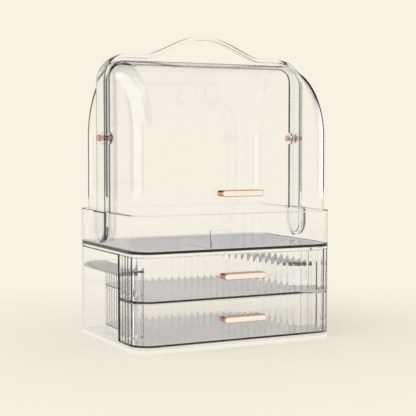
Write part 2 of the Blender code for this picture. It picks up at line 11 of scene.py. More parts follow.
import bmesh
import bpy
import numpy as np
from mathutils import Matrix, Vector


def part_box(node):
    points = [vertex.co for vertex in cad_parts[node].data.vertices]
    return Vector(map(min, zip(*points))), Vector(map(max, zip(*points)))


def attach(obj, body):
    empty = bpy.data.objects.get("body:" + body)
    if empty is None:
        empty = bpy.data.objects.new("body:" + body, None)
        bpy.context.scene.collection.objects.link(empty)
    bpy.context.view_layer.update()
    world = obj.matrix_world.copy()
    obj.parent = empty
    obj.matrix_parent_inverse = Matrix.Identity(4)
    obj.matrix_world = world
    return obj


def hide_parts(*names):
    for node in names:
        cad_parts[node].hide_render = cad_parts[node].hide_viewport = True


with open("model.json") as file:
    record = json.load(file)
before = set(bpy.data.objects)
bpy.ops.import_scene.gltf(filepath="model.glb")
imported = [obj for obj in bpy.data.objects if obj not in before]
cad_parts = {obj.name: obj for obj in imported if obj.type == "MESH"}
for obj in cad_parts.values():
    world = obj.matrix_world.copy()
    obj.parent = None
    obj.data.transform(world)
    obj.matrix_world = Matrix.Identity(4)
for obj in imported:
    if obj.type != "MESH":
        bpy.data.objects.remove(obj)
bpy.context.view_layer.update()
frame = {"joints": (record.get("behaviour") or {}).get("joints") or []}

MM = 0.001

# %% [markdown]
# ## Camera
# The picture was taken from the front left, a little above the drawers. The camera's place, aim and
# lens come from fitting the outlines of the case and the tray, so that straight edges fall where
# they do in the picture. A long lens keeps the case's verticals nearly parallel.

# %% Camera
CAMERA_PLACE = Vector((-0.6761, -1.3756, 0.2715))
CAMERA_AIM = Vector((0.0075, 0.0, 0.1800))
CAMERA_LENS = 93.55
CAMERA_SENSOR = 36.0

camera_data = bpy.data.cameras.new("camera")
camera_data.lens = CAMERA_LENS
camera_data.sensor_width = CAMERA_SENSOR
camera_data.sensor_height = CAMERA_SENSOR
camera_data.sensor_fit = "HORIZONTAL"
camera = bpy.data.objects.new("camera", camera_data)
camera.location = CAMERA_PLACE
camera.rotation_euler = (CAMERA_AIM - CAMERA_PLACE).to_track_quat("-Z", "Y").to_euler()
bpy.context.scene.collection.objects.link(camera)
bpy.context.scene.camera = camera
bpy.context.scene.view_settings.view_transform = "Standard"
print("camera distance in metres:", round((CAMERA_AIM - CAMERA_PLACE).length, 3))

# %% [markdown]
# ## Colours and nodes
# Colours are written as the hex values that a picture shows. A shader works with light, so each
# value goes through the sRGB curve once, here. One helper adds a node, sets its sockets and makes
# its links, which keeps each material below a short recipe.


# %% Colour and node helpers
def linear(hex_colour):
    """sRGB hex to linear light: c/12.92 below 0.04045, else ((c + 0.055)/1.055)^2.4."""
    shares = np.array([int(hex_colour[i:i + 2], 16) for i in (1, 3, 5)]) / 255
    light = np.where(shares <= 0.04045, shares / 12.92, ((shares + 0.055) / 1.055) ** 2.4)
    return (*light.tolist(), 1.0)


def add_node(tree, kind, settings=None, sockets=None):
    """Add a node. Settings are its attributes; each socket takes a value or another node's output."""
    node = tree.nodes.new(kind)
    for name, value in (settings or {}).items():
        setattr(node, name, value)
    for name, value in (sockets or {}).items():
        if isinstance(value, bpy.types.NodeSocket):
            tree.links.new(value, node.inputs[name])
        else:
            node.inputs[name].default_value = value
    return node


# %% [markdown]
# ## Clear moulded polystyrene
# Such organizers are injection moulded in clear polystyrene. A moulded face isn't optically flat:
# it carries slow waves where the melt cooled unevenly, and a faint haze of hair scratches from
# wiping. The waves go into the normal and the scratches into the roughness, at real sizes, because
# they are what makes a highlight on clear plastic wander.

# %% Clear plastic
PLASTIC_IOR = 1.50
WAVE_SIZE = 30 * MM
WAVE_HEIGHT = 0.03 * MM
SCRATCH_SIZE = 1.5 * MM


def clear_plastic(name, tint, roughness):
    """Clear moulded plastic: full transmission, slow waves in the normal, hair scratches in the gloss."""
    made = bpy.data.materials.new(name)
    made.use_nodes = True
    tree = made.node_tree
    shader = tree.nodes["Principled BSDF"]
    shader.inputs["Base Color"].default_value = linear(tint)
    shader.inputs["Transmission Weight"].default_value = 1.0
    shader.inputs["IOR"].default_value = PLASTIC_IOR
    place = add_node(tree, "ShaderNodeTexCoord").outputs["Object"]
    waves = add_node(tree, "ShaderNodeTexNoise", {}, {"Vector": place, "Scale": 1 / WAVE_SIZE, "Detail": 1.0})
    scratches = add_node(tree, "ShaderNodeTexNoise", {}, {
        "Vector": place, "Scale": 1 / SCRATCH_SIZE, "Detail": 3.0, "Distortion": 2.0,
    })
    haze = add_node(tree, "ShaderNodeMapRange", {}, {
        "Value": scratches.outputs["Fac"], "From Min": 0.60, "From Max": 0.80,
        "To Min": roughness, "To Max": roughness * 3,
    })
    tree.links.new(haze.outputs["Result"], shader.inputs["Roughness"])
    bump = add_node(tree, "ShaderNodeBump", {}, {
        "Height": waves.outputs["Fac"], "Strength": 1.0, "Distance": WAVE_HEIGHT,
    })
    tree.links.new(bump.outputs["Normal"], shader.inputs["Normal"])
    return made


polystyrene = clear_plastic("clear_moulded_polystyrene", "#fefeff", 0.003)

# %% [markdown]
# ## Plated metal
# The pulls and the pins are die-cast zinc, polished and plated in rose gold. Polish hides nearly all
# texture, so what is left is a faint orange peel under the plating and thin wipe marks, both small
# changes of gloss. The screws are bright zinc, duller and slightly mottled.


# %% Metals
def plated_metal(name, colour, roughness, grain, depth):
    """Bright metal: a mottled gloss and a faint orange peel of one grain size."""
    made = bpy.data.materials.new(name)
    made.use_nodes = True
    tree = made.node_tree
    shader = tree.nodes["Principled BSDF"]
    shader.inputs["Base Color"].default_value = linear(colour)
    shader.inputs["Metallic"].default_value = 1.0
    place = add_node(tree, "ShaderNodeTexCoord").outputs["Object"]
    peel = add_node(tree, "ShaderNodeTexNoise", {}, {"Vector": place, "Scale": 1 / grain, "Detail": 2.0})
    gloss = add_node(tree, "ShaderNodeMapRange", {}, {
        "Value": peel.outputs["Fac"], "From Min": 0.35, "From Max": 0.70,
        "To Min": roughness * 0.7, "To Max": roughness * 1.5,
    })
    tree.links.new(gloss.outputs["Result"], shader.inputs["Roughness"])
    bump = add_node(tree, "ShaderNodeBump", {}, {"Height": peel.outputs["Fac"], "Strength": 0.4, "Distance": depth})
    tree.links.new(bump.outputs["Normal"], shader.inputs["Normal"])
    return made


rose_gold = plated_metal("polished_rose_gold_plate", "#dda78a", 0.12, 2.5 * MM, 0.02 * MM)
bright_zinc = plated_metal("bright_zinc_plate", "#c9cacc", 0.30, 0.8 * MM, 0.02 * MM)
print("materials:", [made.name for made in (polystyrene, rose_gold, bright_zinc)])

# %% [markdown]
# ## Shapes as rings
# Nearly every piece here is a stack of closed rings: a tray is its plan outline carried along the
# section of its wall, a pull is its pill shape carried from back to front, a pin is a circle carried
# along an axis. One function joins rings into a skin and closes its two ends.


# %% Rings into meshes
SHARP_ANGLE = np.radians(34.0)


def skin(name, rings, material, closed=False):
    """Join ring k, point i to ring k+1 with quads, then cap both ends, or join the last ring to the first."""
    rings = np.asarray(rings, dtype=float)
    count, around = rings.shape[:2]
    index = np.arange(count * around).reshape(count, around)
    rows = np.vstack([index, index[:1]]) if closed else index
    ahead = np.roll(rows, -1, axis=1)
    faces = np.stack([rows[:-1], ahead[:-1], ahead[1:], rows[1:]], axis=-1).reshape(-1, 4).tolist()
    if not closed:
        faces += [index[0, ::-1].tolist(), index[-1].tolist()]
    mesh = bpy.data.meshes.new(name)
    mesh.from_pydata(rings.reshape(-1, 3).tolist(), [], faces)
    return settle(name, mesh, material)


def settle(name, mesh, material):
    """Merge doubles, turn the faces outwards, mark real edges sharp and put the mesh in the scene."""
    shape = bmesh.new()
    shape.from_mesh(mesh)
    bmesh.ops.remove_doubles(shape, verts=shape.verts, dist=0.002 * MM)
    bmesh.ops.dissolve_degenerate(shape, edges=shape.edges, dist=0.001 * MM)
    bmesh.ops.recalc_face_normals(shape, faces=shape.faces)
    shape.to_mesh(mesh)
    shape.free()
    mesh.shade_smooth()
    mesh.set_sharp_from_angle(angle=SHARP_ANGLE)
    mesh.materials.append(material)
    made = bpy.data.objects.new(name, mesh)
    bpy.context.scene.collection.objects.link(made)
    return made


def arc(centre, radius, start, end, steps):
    """Points centre + radius (cos a, sin a) for angles a in degrees from start to end."""
    turn = np.radians(np.linspace(start, end, steps + 1))
    return np.stack([centre[0] + radius * np.cos(turn), centre[1] + radius * np.sin(turn)], axis=-1)


# %% Plan outlines
def rounded_path(corners, count, arc_steps=24):
    """A closed outline through (x, y, radius) corners, read at count even distances along its length."""
    points = []
    for index, (x, y, radius) in enumerate(corners):
        here = np.array([x, y])
        before = np.array(corners[index - 1][:2]) - here
        after = np.array(corners[(index + 1) % len(corners)][:2]) - here
        before = before / np.linalg.norm(before)
        after = after / np.linalg.norm(after)
        half_angle = np.arccos(np.clip(before @ after, -1, 1)) / 2
        middle = (before + after) / np.linalg.norm(before + after)
        centre = here + middle * radius / np.sin(half_angle)
        start = here + before * radius / np.tan(half_angle) - centre
        end = here + after * radius / np.tan(half_angle) - centre
        first = np.arctan2(start[1], start[0])
        sweep = (np.arctan2(end[1], end[0]) - first + np.pi) % (2 * np.pi) - np.pi
        points.append(arc(centre, radius, np.degrees(first), np.degrees(first + sweep), arc_steps))
    ring = np.concatenate(points)
    ring = np.concatenate([ring, ring[:1]])
    length = np.concatenate([[0], np.cumsum(np.linalg.norm(np.diff(ring, axis=0), axis=1))])
    at = np.linspace(0, length[-1], count, endpoint=False)
    return np.stack([np.interp(at, length, ring[:, axis]) for axis in (0, 1)], axis=-1), length[-1]


def inward(path):
    """Unit normals of a counter-clockwise closed path, pointing in: (-ty, tx) of its tangent."""
    tangent = np.roll(path, -1, axis=0) - np.roll(path, 1, axis=0)
    tangent = tangent / np.linalg.norm(tangent, axis=1, keepdims=True)
    return np.stack([-tangent[:, 1], tangent[:, 0]], axis=-1)


def mirrored(outline):
    """The same outline on the other side of the middle plane, still counter-clockwise."""
    return outline[::-1] * [-1, 1]


def carried(path, section, extra=None):
    """Rings of a path carried along a section of (inset, height) points; extra adds an inset per point."""
    normal = inward(path)
    rings = []
    for row, (inset, height) in enumerate(section):
        reach = np.full(len(path), inset) if extra is None else inset + extra[row]
        plan = path + normal * reach[:, None]
        rings.append(np.column_stack([plan, np.full(len(path), height)]))
    return np.array(rings)


def pan_section(low, high, wall, floor_top, foot, rim, fillet):
    """Section of an open pan: round foot, wall, round rim, and a fillet down to the floor."""
    return np.concatenate([
        arc((foot, low + foot), foot, 270, 180, 4),
        arc((rim, high - rim), rim, 180, 90, 5),
        arc((wall - rim, high - rim), rim, 90, 0, 5),
        arc((wall + fillet, floor_top + fillet), fillet, 180, 270, 5),
    ])


# %% [markdown]
# ## Joining and cutting
# A few pieces need a cut: the case is open at the front, the handle's feet go into slots. A Boolean
# does that on the finished skins. Its new edges are sharp, and moulded plastic has none, so a small
# Bevel that only finds sharp edges follows it.


# %% Booleans and rounding
def combine(piece, tool, operation):
    """Cut the tool's shape from the piece, or join it on, and drop the tool."""
    step = piece.modifiers.new(operation.lower(), "BOOLEAN")
    step.operation = operation
    step.solver = "EXACT"
    step.object = tool
    bake(piece)
    bpy.data.objects.remove(tool, do_unlink=True)


def bake(piece):
    """Replace the mesh by what its modifiers make of it."""
    bpy.context.view_layer.update()
    graph = bpy.context.evaluated_depsgraph_get()
    mesh = bpy.data.meshes.new_from_object(piece.evaluated_get(graph))
    piece.modifiers.clear()
    piece.data = mesh


def soften(piece, width, angle=50.0, segments=2):
    """Round the edges sharper than an angle by a width, then shade the result."""
    edge = piece.modifiers.new("edges", "BEVEL")
    edge.width = width
    edge.segments = segments
    edge.limit_method = "ANGLE"
    edge.angle_limit = np.radians(angle)
    edge.use_clamp_overlap = True
    edge.harden_normals = False
    bake(piece)
    piece.data.shade_smooth()
    piece.data.set_sharp_from_angle(angle=SHARP_ANGLE)


def block(name, low, high, material):
    """A box between two corners, as two square rings."""
    (x0, y0, z0), (x1, y1, z1) = low, high
    plan = np.array([(x0, y0), (x1, y0), (x1, y1), (x0, y1)])
    return skin(name, [np.column_stack([plan, np.full(4, z)]) for z in (z0, z1)], material)


def flatten_shading(piece):
    """Let large flat faces keep their own normals, so that only the small round faces look curved."""
    piece.data.shade_smooth()
    piece.data.set_sharp_from_angle(angle=SHARP_ANGLE)
    level = piece.modifiers.new("level", "WEIGHTED_NORMAL")
    level.mode = "FACE_AREA"
    level.weight = 50
    level.thresh = 0.01
    level.keep_sharp = True
    bake(piece)


def dress(piece, body, *nodes):
    """Level a piece's shading, let it ride on a body and stand for its nodes, which are hidden."""
    flatten_shading(piece)
    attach(piece, body)
    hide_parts(*nodes)
    print(piece.name, "has", len(piece.data.polygons), "faces")


# %% [markdown]
# ## Driving sizes
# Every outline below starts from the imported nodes: the case gives the plan, the covers give their
# reach from the pins, and the handle gives its height.

# %% Sizes read from the frame
case_low, case_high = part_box("case")
tray_low, tray_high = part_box("tray")
handle_low, handle_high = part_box("handle")
half_width = case_high.x
half_depth = case_high.y
PLAN_CORNER = 28.3 * MM
WALL = 3.0 * MM
CASE_FLOOR = 4.5 * MM
pivot_z = next(joint["pos_m"][2] for joint in frame["joints"] if joint["name"] == "lid_hinge")
print("plan", round(2 * half_width / MM, 1), "by", round(2 * half_depth / MM, 1), "mm")
print("pins at", round(pivot_z / MM, 1), "mm")


def plan_corners(half_x, half_y, radius):
    """Four equal corners of a rectangle in plan, counter-clockwise from the front right."""
    return [(x * half_x, y * half_y, radius) for x, y in ((1, -1), (1, 1), (-1, 1), (-1, -1))]


# %% [markdown]
# ## Case
# The case is one moulding: a floor, a low lip in front, and tall walls at the sides and the back. It
# could be five plates, but a moulding has no seams, so the plan outline is carried round the section
# of the wall and the front is then cut away down to the lip.

# %% Case
PLAN_POINTS = 480
BEYOND = 200 * MM
SIDE_WALL_FRONT = -49.4 * MM
RUNNER_PLACE = 85 * MM
RUNNER_HALF = 1.5 * MM
RUNNER_REACH = 90 * MM
LIP_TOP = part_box("lower_drawer")[0].z - 0.6 * MM
plan_path = rounded_path(plan_corners(half_width, half_depth, PLAN_CORNER), PLAN_POINTS)[0]
case_section = pan_section(0.0, case_high.z, WALL, CASE_FLOOR, foot=0.8 * MM, rim=1.1 * MM, fillet=1.5 * MM)
case_shell = skin("case_shell", carried(plan_path, case_section), polystyrene)
front_way = block("front_way", (-BEYOND, -BEYOND, LIP_TOP), (BEYOND, SIDE_WALL_FRONT, BEYOND), polystyrene)
combine(case_shell, front_way, "DIFFERENCE")
for side in (-1, 1):
    middle = side * RUNNER_PLACE
    runner = block("runner", (middle - RUNNER_HALF, -RUNNER_REACH, CASE_FLOOR - MM),
                   (middle + RUNNER_HALF, RUNNER_REACH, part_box("lower_drawer")[0].z - 0.3 * MM), polystyrene)
    combine(case_shell, runner, "UNION")
soften(case_shell, 0.7 * MM)
dress(case_shell, "root", "case")

# %% [markdown]
# ## Drawers
# The inside of each drawer is ribbed all round with round flutes, and its outside is smooth. Seen
# through the smooth face, each flute is a small lens that bends the floor's far edge into a saw
# tooth. The flutes are part of the section: they push the inner wall in by depth |sin(pi s/pitch)|.

# %% Drawer sizes
DRAWER_WALL = 2.2 * MM
FLUTE_DEPTH = 0.7 * MM
FLUTE_PITCH = 9.3 * MM
FLUTE_STEPS = 10
DRAWER_FLOOR = 2.5 * MM
DRAWER_RIM = 0.8 * MM
FOOT_POINTS = 5
WRAP_END = 50.3 * MM
BOX_HALF = 115.3 * MM
BOX_BACK = 100.0 * MM
BOX_CORNER = 20.0 * MM
FLANGE_THICK = 2.5 * MM
FLANGE_SINK = 1.1 * MM
WAIST_CUT = 3.8 * MM


def drawer_path():
    """The T-shaped plan: a wide wrapped front with a narrower box behind it."""
    corners = [
        (half_width, -half_depth, PLAN_CORNER), (half_width, -WRAP_END, 6 * MM),
        (BOX_HALF, -WRAP_END, 14 * MM), (BOX_HALF, BOX_BACK, BOX_CORNER),
        (-BOX_HALF, BOX_BACK, BOX_CORNER), (-BOX_HALF, -WRAP_END, 14 * MM),
        (-half_width, -WRAP_END, 6 * MM), (-half_width, -half_depth, PLAN_CORNER),
    ]
    length = rounded_path(corners, 8)[1]
    flutes = int(round(length / FLUTE_PITCH))
    return rounded_path(corners, flutes * FLUTE_STEPS)[0], flutes


def drawer_flange(side, top):
    """One side of the flange: a plate from inside the box's wall out over the ledge."""
    inner = BOX_HALF - FLANGE_SINK
    edge = half_width - WALL - 4.2 * MM
    front = -WRAP_END - FLANGE_SINK
    corner_y = BOX_BACK - BOX_CORNER
    outline = np.concatenate([
        [[inner, front], [edge, front]],
        arc((edge - BOX_CORNER, corner_y), BOX_CORNER, 0, 90, 20),
        [[BOX_HALF - BOX_CORNER, BOX_BACK]],
        arc((BOX_HALF - BOX_CORNER, corner_y), BOX_CORNER - FLANGE_SINK, 90, 0, 20),
    ])
    outline = outline if side > 0 else mirrored(outline)
    rings = [np.column_stack([outline, np.full(len(outline), z)]) for z in (top - FLANGE_THICK, top)]
    return skin("flange", rings, polystyrene)


def make_drawer(name, body, node, box_top, flange):
    """A ribbed drawer; behind its front the walls are cut down to the box's top."""
    low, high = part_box(node)
    path, flutes = drawer_path()
    section = pan_section(low.z, high.z, DRAWER_WALL, low.z + DRAWER_FLOOR,
                          foot=0.7 * MM, rim=DRAWER_RIM, fillet=0.6 * MM)
    inner = np.clip((section[:, 0] - DRAWER_RIM) / (DRAWER_WALL - 2 * DRAWER_RIM), 0, 1)
    inner[:FOOT_POINTS] = 0
    rib = FLUTE_DEPTH * np.abs(np.sin(np.pi * np.arange(len(path)) / FLUTE_STEPS))
    shell = skin(name, carried(path, section, inner[:, None] * rib), polystyrene)
    cut_from = (-BEYOND, -WRAP_END - WAIST_CUT, box_top)
    behind = block("behind", cut_from, (BEYOND, BEYOND, high.z + 5 * MM), polystyrene)
    combine(shell, behind, "DIFFERENCE")
    if flange:
        for side in (1, -1):
            combine(shell, drawer_flange(side, box_top), "UNION")
    soften(shell, 0.35 * MM, angle=60.0, segments=2)
    dress(shell, body, node)
    print(node, "has", flutes, "flutes")


# %% Drawers
UPPER_BOX_RISE = 35.8 * MM
LOWER_BOX_DROP = 1.5 * MM
upper_box_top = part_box("upper_drawer")[0].z + UPPER_BOX_RISE
lower_box_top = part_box("lower_drawer")[1].z - LOWER_BOX_DROP
make_drawer("upper_drawer_shell", "upper_drawer_body", "upper_drawer", upper_box_top, True)
make_drawer("lower_drawer_shell", "lower_drawer_body", "lower_drawer", lower_box_top, False)

# %% [markdown]
# ## Ledges and flange
# The upper drawer hangs by a flange on two ledges. Both are flat plates that follow the round
# corners, so a plate is an outline carried round a thin section with broken edges.


# %% Plates
def plate(name, path, low, high, edge, material):
    """A flat plate: its outline carried round a section with edges rounded by a radius."""
    section = np.concatenate([arc((edge, low + edge), edge, 270, 180, 3), arc((edge, high - edge), edge, 180, 90, 3)])
    return skin(name, carried(path, section), material)


def even_path(outline, count):
    """A closed outline read at count even distances."""
    ring = np.vstack([outline, outline[:1]])
    length = np.concatenate([[0], np.cumsum(np.linalg.norm(np.diff(ring, axis=0), axis=1))])
    at = np.linspace(0, length[-1], count, endpoint=False)
    return np.stack([np.interp(at, length, ring[:, axis]) for axis in (0, 1)], axis=-1)


# %% Ledges
LEDGE_FILLET = 12.8 * MM
LEDGE_PLAY = 0.3 * MM
for side, node in ((1, "right_ledge"), (-1, "left_ledge")):
    low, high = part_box(node)
    outer_x = max(abs(low.x), abs(high.x))
    inner_x = min(abs(low.x), abs(high.x))
    radius = PLAN_CORNER - WALL - LEDGE_PLAY
    ledge = np.concatenate([
        arc((inner_x + LEDGE_FILLET, low.y + LEDGE_FILLET), LEDGE_FILLET, 180, 270, 10), [[outer_x, low.y]],
        arc((outer_x - radius, high.y - radius), radius, 0, 90, 16), [[inner_x, high.y]],
    ])
    path = ledge if side > 0 else mirrored(ledge)
    dress(plate(node + "_plate", path, low.z, high.z, 0.4 * MM, polystyrene), "root", node)

# %% [markdown]
# ## Tray
# The tray is one moulding too: a floor set a little above the bottom edge, an outer wall, and on
# each side a round-bottomed socket that the handle's tongue drops into. The section starts under the
# floor, goes round the skirt and the rim, and ends on top of the floor.

# %% Tray
TRAY_FLOOR_LOW = tray_low.z + 3.7 * MM
TRAY_FLOOR_TOP = TRAY_FLOOR_LOW + 3.2 * MM
SOCKET_HALF = 22.0 * MM
SLOT_HALF = 16.3 * MM
SLOT_LOW = 139.7 * MM
SOCKET_LOW = 137.0 * MM
SOCKET_STANDS = 3.0 * MM
SOCKET_EDGE = 1.6 * MM
SLOT_PLAY = 0.3 * MM
HANDLE_ROOM = 6.0 * MM
SKIRT_EDGE = 0.5 * MM
RIM_EDGE = 1.1 * MM
handle_out = handle_high.x
handle_in = handle_out - HANDLE_ROOM
skirt = SKIRT_EDGE
rim = RIM_EDGE
tray_section = np.concatenate([
    arc((WALL + 0.8 * MM, TRAY_FLOOR_LOW - 0.8 * MM), 0.8 * MM, 90, 180, 3),
    arc((WALL - skirt, tray_low.z + skirt), skirt, 360, 270, 3),
    arc((skirt, tray_low.z + skirt), skirt, 270, 180, 3),
    arc((rim, tray_high.z - rim), rim, 180, 90, 5),
    arc((WALL - rim, tray_high.z - rim), rim, 90, 0, 5),
    arc((WALL + 1.5 * MM, TRAY_FLOOR_TOP + 1.5 * MM), 1.5 * MM, 180, 270, 5),
])
tray_shell = skin("tray_shell", carried(plan_path, tray_section), polystyrene)


def tongue_outline(half, low, high):
    """A strip in the (y, z) plane, straight at its top and half round at its bottom."""
    return np.concatenate([[[half, high], [-half, high]], arc((0, low + half), half, 180, 360, 40)])


def standing(name, outline, stations, material):
    """Rings of a (y, z) outline at stations (x, inset), for a piece that stands on a side wall."""
    path = even_path(outline, 160)
    normal = inward(path)
    rings = []
    for x, inset in stations:
        ring = path + normal * inset
        rings.append(np.column_stack([np.full(len(ring), x), ring]))
    return skin(name, rings, material)


for side in (-1, 1):
    bend = arc((handle_out + SOCKET_STANDS - SOCKET_EDGE, SOCKET_EDGE), SOCKET_EDGE, 270, 360, 5)
    stations = [(side * (half_width - 1.5 * MM), 0.0)] + [(side * x, y) for x, y in bend]
    socket = standing("socket", tongue_outline(SOCKET_HALF, SOCKET_LOW, tray_high.z), stations, polystyrene)
    combine(tray_shell, socket, "UNION")
    slot = tongue_outline(SLOT_HALF, SLOT_LOW, tray_high.z + 4 * MM)
    ends = [(side * (handle_in - SLOT_PLAY), 0.0), (side * (handle_out + SLOT_PLAY), 0.0)]
    combine(tray_shell, standing("slot", slot, ends, polystyrene), "DIFFERENCE")
soften(tray_shell, 0.4 * MM, angle=60.0)
dress(tray_shell, "root", "tray")

# %% [markdown]
# ## Front lid and back cover
# Each cover is a U-shaped plan outline that rises straight to the pins' height and then swings about
# the pins: a point at distance d from the axis goes to (x, d cos a, pivot + d sin a). The lid nests
# over the back cover, so the lid is the larger of the two by its own wall.


# %% Covers
def cover_ring(half, reach, corner, wall, thin):
    """One closed section of a cover: outside there, inside back, each as (x, distance from the pins)."""
    outer_half, outer_reach = half - thin, reach - thin
    inner_half, inner_reach = half - wall + thin, reach - wall + thin
    outer_corner, inner_corner = corner - thin, corner - wall + thin
    outer = arc((outer_half - outer_corner, outer_reach - outer_corner), outer_corner, 0, 90, 16)
    inner = arc((inner_half - inner_corner, inner_reach - inner_corner), inner_corner, 0, 90, 16)
    edge = wall / 2 - thin
    foot = arc((half - wall / 2, 0.0), edge, 180, 360, 6)
    right = np.concatenate([inner[::-1], foot, outer])
    return np.concatenate([right, (right * [-1, 1])[::-1]])


EAR_RADIUS = 8.5 * MM
EAR_STANDS = 0.3 * MM
BORE_RADIUS = 2.9 * MM
COVER_WALL = 2.5 * MM
COVER_EDGE = 0.6 * MM


def spun(name, outline, ends):
    """A straight bar along X with a (y, z) outline."""
    return skin(name, [np.column_stack([np.full(len(outline), x), outline]) for x in ends], polystyrene)


def bore(piece, near, far):
    """Drill the pins' bore through a piece from x = near to x = far."""
    circle = arc((0, pivot_z), BORE_RADIUS, 0, 360, 32)[:-1]
    combine(piece, spun("bore", circle, (near, far)), "DIFFERENCE")


def make_cover(name, body, node, way, sweep, corner):
    """A cover swept up to the pins and swung over them, with ears and bores for the pins."""
    low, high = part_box(node)
    half = high.x - EAR_STANDS
    reach = high.z - pivot_z
    bend = arc((0, 0), COVER_EDGE, 0, 90, 3)
    rings = []
    for thin, rise in ((COVER_EDGE - part[1], COVER_EDGE - part[0]) for part in bend):
        section = cover_ring(half, reach, corner, COVER_WALL, thin)
        rings.append(np.column_stack([section[:, 0], way * section[:, 1], np.full(len(section), low.z + rise)]))
    section = cover_ring(half, reach, corner, COVER_WALL, 0.0)
    for turn in np.linspace(0, sweep, 49):
        rings.append(np.column_stack([
            section[:, 0], way * section[:, 1] * np.cos(turn), pivot_z + section[:, 1] * np.sin(turn),
        ]))
    shell = skin(name, rings, polystyrene)
    for side in (-1, 1):
        ear = arc((0, pivot_z), EAR_RADIUS, 0, 360, 48)[:-1]
        near, far = side * (half - COVER_WALL - EAR_STANDS), side * (half + EAR_STANDS)
        combine(shell, spun("ear", ear, (near, far)), "UNION")
        bore(shell, near - side * MM, far + side * MM)
    dress(shell, body, node)


make_cover("back_cover_shell", "root", "back_cover", 1, np.radians(90.0), 20.5 * MM)
make_cover("front_lid_shell", "lid", "front_lid", -1, np.radians(91.5), 25.0 * MM)

# %% [markdown]
# ## Carrying handle
# The handle is a strip bent round the covers. Its middle line is a straight leg, a quarter turn, and
# a grip that rises as h ((1 + cos(pi x / w)) / 2)^p. The section is a rounded rectangle: wide in the
# legs, narrowing through the turn to a slim bar, and at the feet its width follows a half circle. The
# turn stays wide enough of the lid's round corner for the lid to pass under it.

# %% Handle
HANDLE_HALF = 16.0 * MM
GRIP_HALF = 6.0 * MM
HANDLE_THICK = 5.8 * MM
HANDLE_EDGE = 1.8 * MM
TURN_RADIUS = 37.0 * MM
GRIP_RISE = 28.1 * MM
GRIP_REACH = 88.0 * MM
GRIP_POWER = 0.74
TOP_SPARE = 1.0 * MM
BORE_SPARE = 4 * MM
middle_x = (handle_out + handle_in) / 2
middle_z = handle_high.z - TOP_SPARE - HANDLE_THICK / 2 - GRIP_RISE
foot_z = handle_low.z
print("handle's middle line turns at z =", round(middle_z / MM, 1), "mm")


def smoothstep(share):
    """3 u^2 - 2 u^3 for u from 0 to 1."""
    share = np.clip(share, 0, 1)
    return share * share * (3 - 2 * share)


def handle_line():
    """Half of the middle line from the foot to the top: x, z, half width."""
    foot = np.radians(np.linspace(-88, 0, 15))
    rows = [(middle_x, foot_z + HANDLE_HALF * (1 + np.sin(a)), HANDLE_HALF * np.cos(a)) for a in foot]
    leg = np.linspace(foot_z + HANDLE_HALF, middle_z - TURN_RADIUS, 12)[1:-1]
    rows += [(middle_x, z, HANDLE_HALF) for z in leg]
    turn = arc((middle_x - TURN_RADIUS, middle_z - TURN_RADIUS), TURN_RADIUS, 0, 90, 32)
    narrowing = HANDLE_HALF + (GRIP_HALF - HANDLE_HALF) * smoothstep(np.linspace(0, 1, len(turn)))
    rows += [(x, z, half) for (x, z), half in zip(turn, narrowing)]
    for x in np.linspace(GRIP_REACH, 0, 61):
        swell = (1 + np.cos(np.pi * x / GRIP_REACH)) / 2
        rows.append((x, middle_z + GRIP_RISE * swell ** GRIP_POWER, GRIP_HALF))
    return np.array(rows)


def rounded_box_ring(half_long, half_thick, edge):
    """A rounded rectangle as (thickness offset, y) pairs."""
    edge = min(edge, half_long * 0.95)
    parts = [arc((sx * (half_thick - edge), sy * (half_long - edge)), edge, start, start + 90, 5)
             for sx, sy, start in ((1, -1, -90), (1, 1, 0), (-1, 1, 90), (-1, -1, 180))]
    return np.concatenate(parts)


half_line = handle_line()
other_half = (half_line * [-1, 1, 1])[::-1][1:]
line = np.vstack([half_line, other_half])
heading = np.gradient(line[:, :2], axis=0)
heading = heading / np.linalg.norm(heading, axis=1, keepdims=True)
outward = np.column_stack([heading[:, 1], -heading[:, 0]])
handle_rings = []
for (x, z, half), (nx, nz) in zip(line, outward):
    ring = rounded_box_ring(half, HANDLE_THICK / 2, HANDLE_EDGE)
    handle_rings.append(np.column_stack([x + ring[:, 0] * nx, ring[:, 1], z + ring[:, 0] * nz]))
handle_strip = skin("handle_strip", handle_rings, polystyrene)
for side in (-1, 1):
    bore(handle_strip, side * (handle_in - BORE_SPARE), side * (handle_out + BORE_SPARE))
dress(handle_strip, "root", "handle")

# %% [markdown]
# ## Turned pieces
# Pins, caps, spacers and screws are all turned about one axis. A profile gives radius and place along
# the axis, and the shape is that profile taken round a circle.


# %% Turning
def turned(name, profile, centre, axis, material, steps=40, closed=False):
    """Profile points (r, t) go to centre + t axis + r (u cos a + v sin a) for a full turn of a."""
    axis = np.array(axis, dtype=float)
    first = np.array([0.0, 0.0, 1.0])
    second = np.cross(axis, first)
    turn = np.linspace(0, 2 * np.pi, steps, endpoint=False)
    circle = np.cos(turn)[:, None] * first + np.sin(turn)[:, None] * second
    rings = [np.array(centre) + along * axis + radius * circle for radius, along in profile]
    return skin(name, rings, material, closed)


def round_profile(points, edge, steps=3):
    """A profile whose inner corners are cut by short arcs of one radius."""
    points = np.array(points, dtype=float)
    made = [points[0]]
    for before, here, after in zip(points, points[1:], points[2:]):
        to_before = (before - here) / np.linalg.norm(before - here)
        to_after = (after - here) / np.linalg.norm(after - here)
        reach = min(edge, np.linalg.norm(before - here) * 0.45, np.linalg.norm(after - here) * 0.45)
        share = np.linspace(0, 1, steps + 1)[:, None]
        start, end = here + to_before * reach, here + to_after * reach
        made.extend((1 - share) ** 2 * start + 2 * share * (1 - share) * here + share ** 2 * end)
    return np.array(made + [points[-1]])


# %% Pins, caps and spacers
AXIS_HOLE = 0.05 * MM
HEAD_RADIUS = 4.5 * MM
PIN_RADIUS = 2.5 * MM
PIN_HEAD = 2.5 * MM
CAP_BORE = 2.8 * MM
CAP_END = 1.2 * MM


